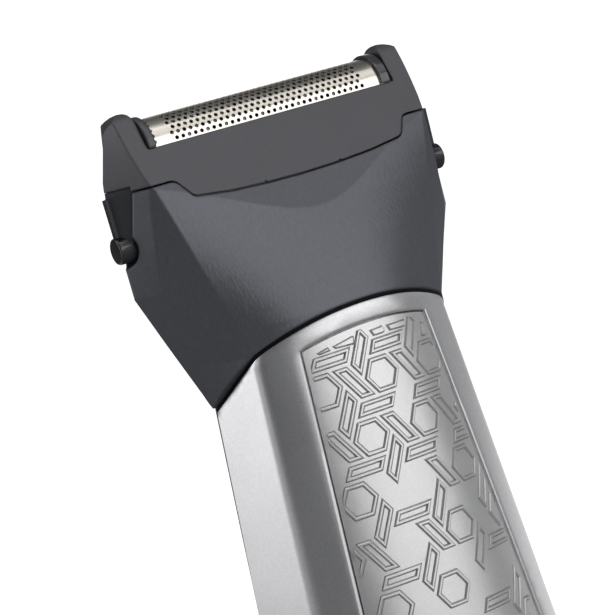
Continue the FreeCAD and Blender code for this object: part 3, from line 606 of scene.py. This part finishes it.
def foil_clip():
    """Black toothed strip that clips the left end of the foil to its end plate."""
    r0, r1, x_back, x_root, tooth = FOIL_R + 0.012, FOIL_R + 0.13, -FOIL_HALF - 0.28, -FOIL_HALF + 0.04, 0.30
    n = 15
    a0, a1 = math.radians(3), math.radians(177)
    V, F = [], []
    prof = []
    for i in range(2 * n + 1):
        a = a0 + (a1 - a0) * i / (2 * n)
        prof.append((a, x_root + (tooth if i % 2 else 0.0)))
    for a, xf in prof:
        for x, r in ((x_back, r0), (xf, r0), (xf, r1), (x_back, r1)):
            V.append((x, -r * math.cos(a), FOIL_Z + r * math.sin(a)))
    m = len(prof)
    for i in range(m - 1):
        for k in range(4):
            b = (k + 1) % 4
            F.append((4 * i + k, 4 * (i + 1) + k, 4 * (i + 1) + b, 4 * i + b))
    F.append((0, 1, 2, 3))
    F.append((4 * (m - 1) + 3, 4 * (m - 1) + 2, 4 * (m - 1) + 1, 4 * (m - 1)))
    return mesh_piece("foil_clip_left", V, F, "foil_head", (), sharp=30.0)


def spring_coils():
    """The two cutter springs, foot on the carriage and top on the blade holder, copied from the part as one mesh."""
    src = nodes["cutter_springs"]
    me = src.data.copy()
    me.transform(src.matrix_world)
    ob = bpy.data.objects.new("cutter_spring_coils", me)
    scene.collection.objects.link(ob)
    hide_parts("cutter_springs")
    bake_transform(ob)
    return ob


# ------------------------------------------------------------------ materials
def new_mat(name):
    m = bpy.data.materials.new(name)
    m.use_nodes = True
    m.node_tree.nodes.clear()
    return m


class Net:
    def __init__(self, m):
        self.t = m.node_tree

    def n(self, kind, **kw):
        o = self.t.nodes.new(kind)
        for k, v in kw.items():
            if k in o.inputs:
                o.inputs[k].default_value = v
            else:
                setattr(o, k, v)
        return o

    def link(self, a, b):
        self.t.links.new(a, b)


def grainy(name, color, rough=0.4, metallic=0.0, color_var=0.04, rough_var=0.08, grain=0.16, grain_h=0.004, stretch=(1, 1, 1), broad=6.0, broad_var=0.03, flake=0.0, coat=0.0, spec=0.5, edge=0.0, tint=None, soft=0.0):
    """Finish with fine grain, broad colour and roughness drift, and lighter worn edges. Sizes are in mm."""
    m = new_mat(name)
    k = Net(m)
    out = k.n("ShaderNodeOutputMaterial")
    b = k.n("ShaderNodeBsdfPrincipled")
    b.inputs["Metallic"].default_value = metallic
    b.inputs["Specular IOR Level"].default_value = spec
    if tint is not None:
        b.inputs["Specular Tint"].default_value = (tint, tint, tint, 1)
    b.inputs["Coat Weight"].default_value = coat
    b.inputs["Coat Roughness"].default_value = 0.12
    k.link(b.outputs["BSDF"], out.inputs["Surface"])
    tc = k.n("ShaderNodeTexCoord")
    mp = k.n("ShaderNodeMapping")
    mp.inputs["Scale"].default_value = stretch
    k.link(tc.outputs["Object"], mp.inputs["Vector"])
    fine = k.n("ShaderNodeTexNoise")
    fine.inputs["Scale"].default_value = 1000.0 / grain
    fine.inputs["Detail"].default_value = 3.0
    fine.inputs["Roughness"].default_value = 0.6
    k.link(mp.outputs["Vector"], fine.inputs["Vector"])
    wide = k.n("ShaderNodeTexNoise")
    wide.inputs["Scale"].default_value = 1000.0 / broad
    wide.inputs["Detail"].default_value = 2.0
    k.link(tc.outputs["Object"], wide.inputs["Vector"])
    # colour
    base = k.n("ShaderNodeMixRGB", blend_type="MIX")
    dark = tuple(c * (1 - color_var) for c in color)
    lite = tuple(min(1.0, c * (1 + color_var)) for c in color)
    base.inputs["Color1"].default_value = (*dark, 1)
    base.inputs["Color2"].default_value = (*lite, 1)
    k.link(fine.outputs["Fac"], base.inputs["Fac"])
    drift = k.n("ShaderNodeHueSaturation")
    val = k.n("ShaderNodeMapRange")
    val.inputs["To Min"].default_value = 1 - broad_var
    val.inputs["To Max"].default_value = 1 + broad_var
    k.link(wide.outputs["Fac"], val.inputs["Value"])
    k.link(val.outputs["Result"], drift.inputs["Value"])
    k.link(base.outputs["Color"], drift.inputs["Color"])
    col = drift.outputs["Color"]
    if flake > 0:
        vor = k.n("ShaderNodeTexVoronoi")
        vor.inputs["Scale"].default_value = 1000.0 / 0.14
        k.link(tc.outputs["Object"], vor.inputs["Vector"])
        fr = k.n("ShaderNodeMapRange")
        fr.inputs["From Min"].default_value = 0.0
        fr.inputs["From Max"].default_value = 1.0
        fr.inputs["To Min"].default_value = 1 - flake
        fr.inputs["To Max"].default_value = 1 + flake
        sep = k.n("ShaderNodeSeparateColor")
        k.link(vor.outputs["Color"], sep.inputs["Color"])
        k.link(sep.outputs["Red"], fr.inputs["Value"])
        mul = k.n("ShaderNodeHueSaturation")
        k.link(fr.outputs["Result"], mul.inputs["Value"])
        k.link(col, mul.inputs["Color"])
        col = mul.outputs["Color"]
    if edge > 0:
        geo = k.n("ShaderNodeNewGeometry")
        er = k.n("ShaderNodeMapRange")
        er.inputs["From Min"].default_value = 0.53
        er.inputs["From Max"].default_value = 0.62
        er.inputs["To Max"].default_value = edge
        k.link(geo.outputs["Pointiness"], er.inputs["Value"])
        em = k.n("ShaderNodeMixRGB", blend_type="ADD")
        em.inputs["Color2"].default_value = (0.25, 0.25, 0.26, 1)
        k.link(er.outputs["Result"], em.inputs["Fac"])
        k.link(col, em.inputs["Color1"])
        col = em.outputs["Color"]
    k.link(col, b.inputs["Base Color"])
    # roughness
    rr = k.n("ShaderNodeMapRange")
    rr.inputs["To Min"].default_value = max(0.03, rough - rough_var)
    rr.inputs["To Max"].default_value = min(1.0, rough + rough_var)
    mixr = k.n("ShaderNodeMath", operation="ADD")
    half1 = k.n("ShaderNodeMath", operation="MULTIPLY")
    half1.inputs[1].default_value = 0.6
    half2 = k.n("ShaderNodeMath", operation="MULTIPLY")
    half2.inputs[1].default_value = 0.4
    k.link(fine.outputs["Fac"], half1.inputs[0])
    k.link(wide.outputs["Fac"], half2.inputs[0])
    k.link(half1.outputs[0], mixr.inputs[0])
    k.link(half2.outputs[0], mixr.inputs[1])
    k.link(mixr.outputs[0], rr.inputs["Value"])
    k.link(rr.outputs["Result"], b.inputs["Roughness"])
    # bump
    if grain_h > 0:
        bp = k.n("ShaderNodeBump")
        bp.inputs["Strength"].default_value = 1.0
        bp.inputs["Distance"].default_value = grain_h * MM
        k.link(fine.outputs["Fac"], bp.inputs["Height"])
        if soft > 0:
            be = k.n("ShaderNodeBevel")
            be.samples = 6
            be.inputs["Radius"].default_value = soft * MM
            k.link(be.outputs["Normal"], bp.inputs["Normal"])
        k.link(bp.outputs["Normal"], b.inputs["Normal"])
    return m


M = {
    "satin_silver": grainy("satin_silver", (0.58, 0.58, 0.59), rough=0.34, metallic=0.9, color_var=0.06, rough_var=0.06, grain=0.11, grain_h=0.0035, flake=0.07, broad=9, broad_var=0.015),
    "patterned_silver": grainy("patterned_silver", (0.62, 0.62, 0.62), rough=0.38, metallic=0.88, color_var=0.05, rough_var=0.05, grain=0.14, grain_h=0.002, flake=0.04, broad=12, broad_var=0.015),
    "black_grip": grainy("black_grip", (0.018, 0.018, 0.02), rough=0.62, grain=0.22, grain_h=0.02, color_var=0.15, broad=5, broad_var=0.08),
    "black_plastic": grainy("black_plastic", (0.010, 0.010, 0.011), rough=0.42, spec=0.3, grain=0.15, grain_h=0.006, color_var=0.12, broad=5, broad_var=0.08),
    "charcoal_plastic": grainy("charcoal_plastic", (0.130, 0.134, 0.148), rough=0.33, metallic=0.5, spec=0.0, tint=0.35, soft=0.45, grain=0.34, grain_h=0.026, stretch=(1.0, 1.0, 0.45), color_var=0.16, rough_var=0.06, broad=8, broad_var=0.04),
    "charcoal_matte": grainy("charcoal_matte", (0.122, 0.122, 0.131), rough=0.40, metallic=0.45, spec=0.0, tint=0.35, soft=0.4, grain=0.28, grain_h=0.014, color_var=0.12, rough_var=0.05, broad=8, broad_var=0.04),
    "gloss_charcoal": grainy("gloss_charcoal", (0.05, 0.05, 0.054), rough=0.2, grain=0.3, grain_h=0.001, color_var=0.1, rough_var=0.04, coat=0.5),
    "gloss_black": grainy("gloss_black", (0.008, 0.008, 0.009), rough=0.16, grain=0.3, grain_h=0.0008, color_var=0.1, rough_var=0.04, coat=0.5),
    "bright_trim": grainy("bright_trim", (0.82, 0.82, 0.83), rough=0.14, metallic=1.0, grain=0.3, grain_h=0.0006, color_var=0.02, rough_var=0.04),
    "foil_nickel": grainy("foil_nickel", (0.80, 0.755, 0.675), rough=0.25, metallic=1.0, grain=0.35, grain_h=0.0012, stretch=(0.25, 1, 1), color_var=0.03, rough_var=0.06, broad=4, broad_var=0.03),
    "inner_plastic": grainy("inner_plastic", (0.055, 0.056, 0.06), rough=0.5, grain=0.3, grain_h=0.008, color_var=0.1, broad=5, broad_var=0.08),
    "spring_steel": grainy("spring_steel", (0.62, 0.62, 0.63), rough=0.28, metallic=1.0, grain=0.12, grain_h=0.001, color_var=0.05),
    "blade_steel": grainy("blade_steel", (0.20, 0.19, 0.185), rough=0.4, metallic=1.0, grain=0.2, grain_h=0.001, color_var=0.1),
    "screw_steel": grainy("screw_steel", (0.55, 0.55, 0.56), rough=0.3, metallic=1.0, grain=0.15, grain_h=0.002, color_var=0.06),
    "contact_metal": grainy("contact_metal", (0.83, 0.68, 0.36), rough=0.24, metallic=1.0, grain=0.15, grain_h=0.001, color_var=0.05),
    "battery_wrap": grainy("battery_wrap", (0.10, 0.22, 0.12), rough=0.32, grain=0.5, grain_h=0.002, color_var=0.05, coat=0.3),
    "board_green": grainy("board_green", (0.02, 0.11, 0.045), rough=0.4, grain=0.3, grain_h=0.003, color_var=0.2, coat=0.3),
    "magnet_grey": grainy("magnet_grey", (0.09, 0.09, 0.095), rough=0.55, grain=0.12, grain_h=0.006, color_var=0.15),
    "winding_copper": grainy("winding_copper", (0.55, 0.26, 0.12), rough=0.32, metallic=0.9, grain=0.4, grain_h=0.02, stretch=(0.2, 0.2, 3.0), color_var=0.12),
    "tongue_black": grainy("tongue_black", (0.055, 0.056, 0.062), rough=0.42, metallic=0.4, spec=0.0, tint=0.4, soft=0.25, grain=0.26, grain_h=0.012, color_var=0.12),
    "seal_black": grainy("seal_black", (0.005, 0.005, 0.006), rough=0.6, spec=0.08, grain=0.12, grain_h=0.003, color_var=0.12),
    "seal_rubber": grainy("seal_rubber", (0.02, 0.02, 0.021), rough=0.7, grain=0.1, grain_h=0.004, color_var=0.12),
    "clear_lens": grainy("clear_lens", (0.75, 0.78, 0.80), rough=0.12, grain=0.6, grain_h=0.0006, color_var=0.02, coat=0.6),
}
NODE_SLOT = {
    "rear_shell": "black_grip", "bottom_cap": "black_grip", "cap_screws": "screw_steel", "charge_inlet": "black_plastic",
    "inlet_contacts": "contact_metal", "chassis": "inner_plastic", "shell_screws": "screw_steel", "battery_cell": "battery_wrap",
    "battery_tabs": "contact_metal", "circuit_board": "board_green", "board_screws": "screw_steel", "board_components": "black_plastic",
    "switch_body": "black_plastic", "status_led": "clear_lens", "light_pipe": "clear_lens", "button_bezel": "bright_trim",
    "power_button": "gloss_black", "switch_plunger": "inner_plastic", "motor_can": "screw_steel", "motor_end_cap": "black_plastic",
    "motor_magnets": "magnet_grey", "motor_shaft": "spring_steel", "rotor_core": "winding_copper", "eccentric": "inner_plastic",
    "motor_bracket": "screw_steel", "motor_screws": "screw_steel", "guide_rods": "spring_steel", "drive_bridge": "inner_plastic",
    "drive_post": "spring_steel", "neck_collar": "seal_black", "neck_oring": "seal_rubber", "drive_seal": "seal_rubber",
    "head_housing": "charcoal_plastic", "head_base": "inner_plastic", "cutter_carriage": "inner_plastic", "cutter_springs": "spring_steel",
    "blade_holder": "inner_plastic", "cutter_blades": "blade_steel", "foil_frame": "charcoal_matte", "foil_end_plate_left": "charcoal_matte",
    "foil_end_plate_right": "gloss_charcoal", "release_button_left": "tongue_black", "release_button_right": "tongue_black",
    "front_shell": "satin_silver", "pattern_panel": "patterned_silver", "shaving_foil": "foil_nickel",
}


def paint(ob, slot):
    ob.data.materials.clear()
    ob.data.materials.append(M[slot])
    for p in ob.data.polygons:
        p.material_index = 0


def angle_group():
    """Geometry nodes: edges turning more than the limit are sharp, all else is smooth."""
    g = bpy.data.node_groups.new("smooth_by_turn", "GeometryNodeTree")
    g.interface.new_socket("Geometry", in_out="INPUT", socket_type="NodeSocketGeometry")
    g.interface.new_socket("Geometry", in_out="OUTPUT", socket_type="NodeSocketGeometry")
    i, o = g.nodes.new("NodeGroupInput"), g.nodes.new("NodeGroupOutput")
    ang = g.nodes.new("GeometryNodeInputMeshEdgeAngle")
    cmp_ = g.nodes.new("FunctionNodeCompare")
    cmp_.data_type, cmp_.operation = "FLOAT", "LESS_EQUAL"
    cmp_.inputs["B"].default_value = math.radians(32)
    sf = g.nodes.new("GeometryNodeSetShadeSmooth")
    sf.domain = "FACE"
    se = g.nodes.new("GeometryNodeSetShadeSmooth")
    se.domain = "EDGE"
    g.links.new(i.outputs[0], sf.inputs["Geometry"])
    g.links.new(sf.outputs["Geometry"], se.inputs["Geometry"])
    g.links.new(ang.outputs["Unsigned Angle"], cmp_.inputs["A"])
    g.links.new(cmp_.outputs["Result"], se.inputs["Shade Smooth"])
    g.links.new(se.outputs["Geometry"], o.inputs[0])
    return g


SMOOTH = angle_group()
BEVEL = {"head_housing": 0.22, "foil_frame": 0.25, "rear_shell": 0.18, "bottom_cap": 0.3, "button_bezel": 0.18, "release_button_left": 0.15, "release_button_right": 0.15, "foil_end_plate_left": 0.1, "foil_end_plate_right": 0.1, "neck_collar": 0.08, "charge_inlet": 0.15}


KEEP_NORMALS = ("head_housing", "foil_frame")


def dress(name):
    ob = nodes[name]
    paint(ob, NODE_SLOT[name])
    if name.startswith("release_button"):
        # the round button is glossier than its tongue
        ob.data.materials.append(M["gloss_black"])
        for p in ob.data.polygons:
            c = ob.matrix_world @ p.center / MM
            if abs(c.x) > 23.0 and math.hypot(c.y, c.z - RELEASE_Z) < 1.72:
                p.material_index = 1
    if name in KEEP_NORMALS and ob.data.has_custom_normals:
        return
    if ob.data.has_custom_normals:
        bpy.context.view_layer.objects.active = ob
        bpy.ops.mesh.customdata_custom_splitnormals_clear()
    w = ob.modifiers.new("weld", "WELD")
    w.merge_threshold = 2e-6
    if name in BEVEL:
        b = ob.modifiers.new("edge", "BEVEL")
        b.width = BEVEL[name] * MM
        b.segments = 3
        b.limit_method = "ANGLE"
        b.angle_limit = math.radians(33)
        b.use_clamp_overlap = True
    s = ob.modifiers.new("smooth", "NODES")
    s.node_group = SMOOTH


for name in NODE_SLOT:
    if name != "cutter_springs":
        dress(name)

for ob, slot in ((front_shell(), "satin_silver"), (pattern_panel(), "patterned_silver"), (foil(), "foil_nickel"), (foil_clip(), "gloss_black"),
                 (spring_coils(), "spring_steel")):
    paint(ob, slot)

# ------------------------------------------------------------------ floor, light, camera
def backdrop():
    """Pale floor that curves up into a wall behind the object. It carries a painted glow (emission) that is strongest
    on the wall behind the object and fades towards the near floor, the sides and the top.
    """
    n = 24
    prof = [(-2.4, 0.0), (1.0, 0.0)] + [(1.0 + 0.9 * math.sin(math.pi / 2 * i / n), 0.9 - 0.9 * math.cos(math.pi / 2 * i / n)) for i in range(1, n + 1)] + [(1.9, 2.2)]
    d = Vector((0.46, 0.888, 0.0))
    side = Vector((d.y, -d.x, 0.0))
    V, F = [], []
    for a, z in prof:
        for w in (-3.0, 3.0):
            p = d * a + side * w
            V.append((p.x, p.y, z - 0.0004))
    for k in range(len(prof) - 1):
        F.append((2 * k, 2 * k + 1, 2 * k + 3, 2 * k + 2))
    me = bpy.data.meshes.new("backdrop")
    me.from_pydata(V, [], F)
    for p in me.polygons:
        p.use_smooth = True
    ob = bpy.data.objects.new("backdrop", me)
    scene.collection.objects.link(ob)
    m = new_mat("pale_floor_painted_glow")
    k = Net(m)
    out = k.n("ShaderNodeOutputMaterial")
    b = k.n("ShaderNodeBsdfPrincipled")
    b.inputs["Base Color"].default_value = (0.5, 0.5, 0.5, 1)
    b.inputs["Roughness"].default_value = 0.85
    b.inputs["Specular IOR Level"].default_value = 0.1
    b.inputs["Emission Color"].default_value = (1, 1, 1, 1)
    tc = k.n("ShaderNodeTexCoord")

    def along(v, lo, hi):
        dot = k.n("ShaderNodeVectorMath", operation="DOT_PRODUCT")
        dot.inputs[1].default_value = v
        k.link(tc.outputs["Object"], dot.inputs[0])
        ab = k.n("ShaderNodeMath", operation="ABSOLUTE" if lo > hi else "ADD")
        if lo < hi:
            ab.inputs[1].default_value = 0.0
        k.link(dot.outputs["Value"], ab.inputs[0])
        r = k.n("ShaderNodeMapRange")
        r.interpolation_type = "SMOOTHSTEP"
        r.inputs["From Min"].default_value = min(lo, hi)
        r.inputs["From Max"].default_value = max(lo, hi)
        r.inputs["To Min"].default_value = 0.0 if lo < hi else 1.0
        r.inputs["To Max"].default_value = 1.0 if lo < hi else 0.0
        k.link(ab.outputs[0], r.inputs["Value"])
        return r.outputs["Result"]

    # painted glow: emission strength graded from none on the near floor up to the wall behind the object, fading
    # sideways and with height
    mul = k.n("ShaderNodeMath", operation="MULTIPLY")
    k.link(along(tuple(d), 0.12, 0.34), mul.inputs[0])
    k.link(along(tuple(side), 0.95, 0.5), mul.inputs[1])
    mul2 = k.n("ShaderNodeMath", operation="MULTIPLY")
    k.link(mul.outputs[0], mul2.inputs[0])
    k.link(along((0.0, 0.0, 1.0), 1.1, 0.6), mul2.inputs[1])
    amt = k.n("ShaderNodeMapRange")
    amt.inputs["To Min"].default_value = FLOOR_GLOW_NEAR
    amt.inputs["To Max"].default_value = FLOOR_GLOW_FAR
    k.link(mul2.outputs[0], amt.inputs["Value"])
    k.link(amt.outputs["Result"], b.inputs["Emission Strength"])
    k.link(b.outputs["BSDF"], out.inputs["Surface"])
    me.materials.append(m)


def soft_light(name, direction, dist, size, watts, target=(0, 0, 0.12), color=(1, 1, 1)):
    L = bpy.data.lights.new(name, "AREA")
    L.shape = "RECTANGLE"
    L.size, L.size_y = size
    L.energy = watts
    L.color = color
    o = bpy.data.objects.new(name, L)
    scene.collection.objects.link(o)
    d = Vector(direction).normalized()
    o.location = Vector(target) + d * dist
    o.rotation_euler = d.to_track_quat("Z", "Y").to_euler()
    return o


def az(a, e):
    a, e = math.radians(a), math.radians(e)
    return (math.sin(a) * math.cos(e), -math.cos(a) * math.cos(e), math.sin(e))


# emission strengths of the backdrop's painted glow, on the near floor and on the far wall
FLOOR_GLOW_NEAR, FLOOR_GLOW_FAR = 0.0, 0.95
backdrop()


def panel_light(name, a, e, dist, span_a, span_e, radiance, target=(0, 0, 0.15), color=(1, 1, 1)):
    """Soft box that covers span_a by span_e degrees as seen from the target."""
    w = 2 * dist * math.tan(math.radians(span_a) / 2)
    h = 2 * dist * math.tan(math.radians(span_e) / 2)
    return soft_light(name, az(a, e), dist, (w, h), radiance * math.pi * w * h, target, color)


panel_light("front_key", 16, 14, 1.1, 70, 38, 1.75)
panel_light("high_front", 25, 50, 1.1, 60, 26, 0.85)
panel_light("left_back", -124, 6, 1.0, 26, 50, 2.2)
panel_light("right_fill", 92, 10, 1.2, 44, 50, 0.35)
panel_light("top", 25, 84, 1.1, 26, 46, 2.1)
panel_light("left_edge", -93, 12, 1.0, 14, 30, 1.1)

world = bpy.data.worlds.new("studio")
scene.world = world
world.use_nodes = True
world.node_tree.nodes["Background"].inputs["Color"].default_value = (0.92, 0.95, 1.0, 1)
world.node_tree.nodes["Background"].inputs["Strength"].default_value = 0.09
scene.view_settings.view_transform = "Standard"

cam_data = bpy.data.cameras.new("camera")
cam_data.lens = 129.831
cam_data.sensor_width = 36.0
cam_data.clip_start, cam_data.clip_end = 0.01, 20.0
cam = bpy.data.objects.new("camera", cam_data)
scene.collection.objects.link(cam)
rot = Matrix((
    (0.8480039160671209, 0.2787386166634853, -0.45077060897462484),
    (-0.4614250579968384, -0.0301128549097183, -0.8866679941341069),
    (-0.2607226000703465, 0.959894785666488, 0.10308116347250508),
))
cam.matrix_world = Matrix.Translation(Vector((-127.98797481, -250.61078501, 174.26211978)) * MM) @ rot.to_4x4()
scene.camera = cam

bpy.context.view_layer.update()
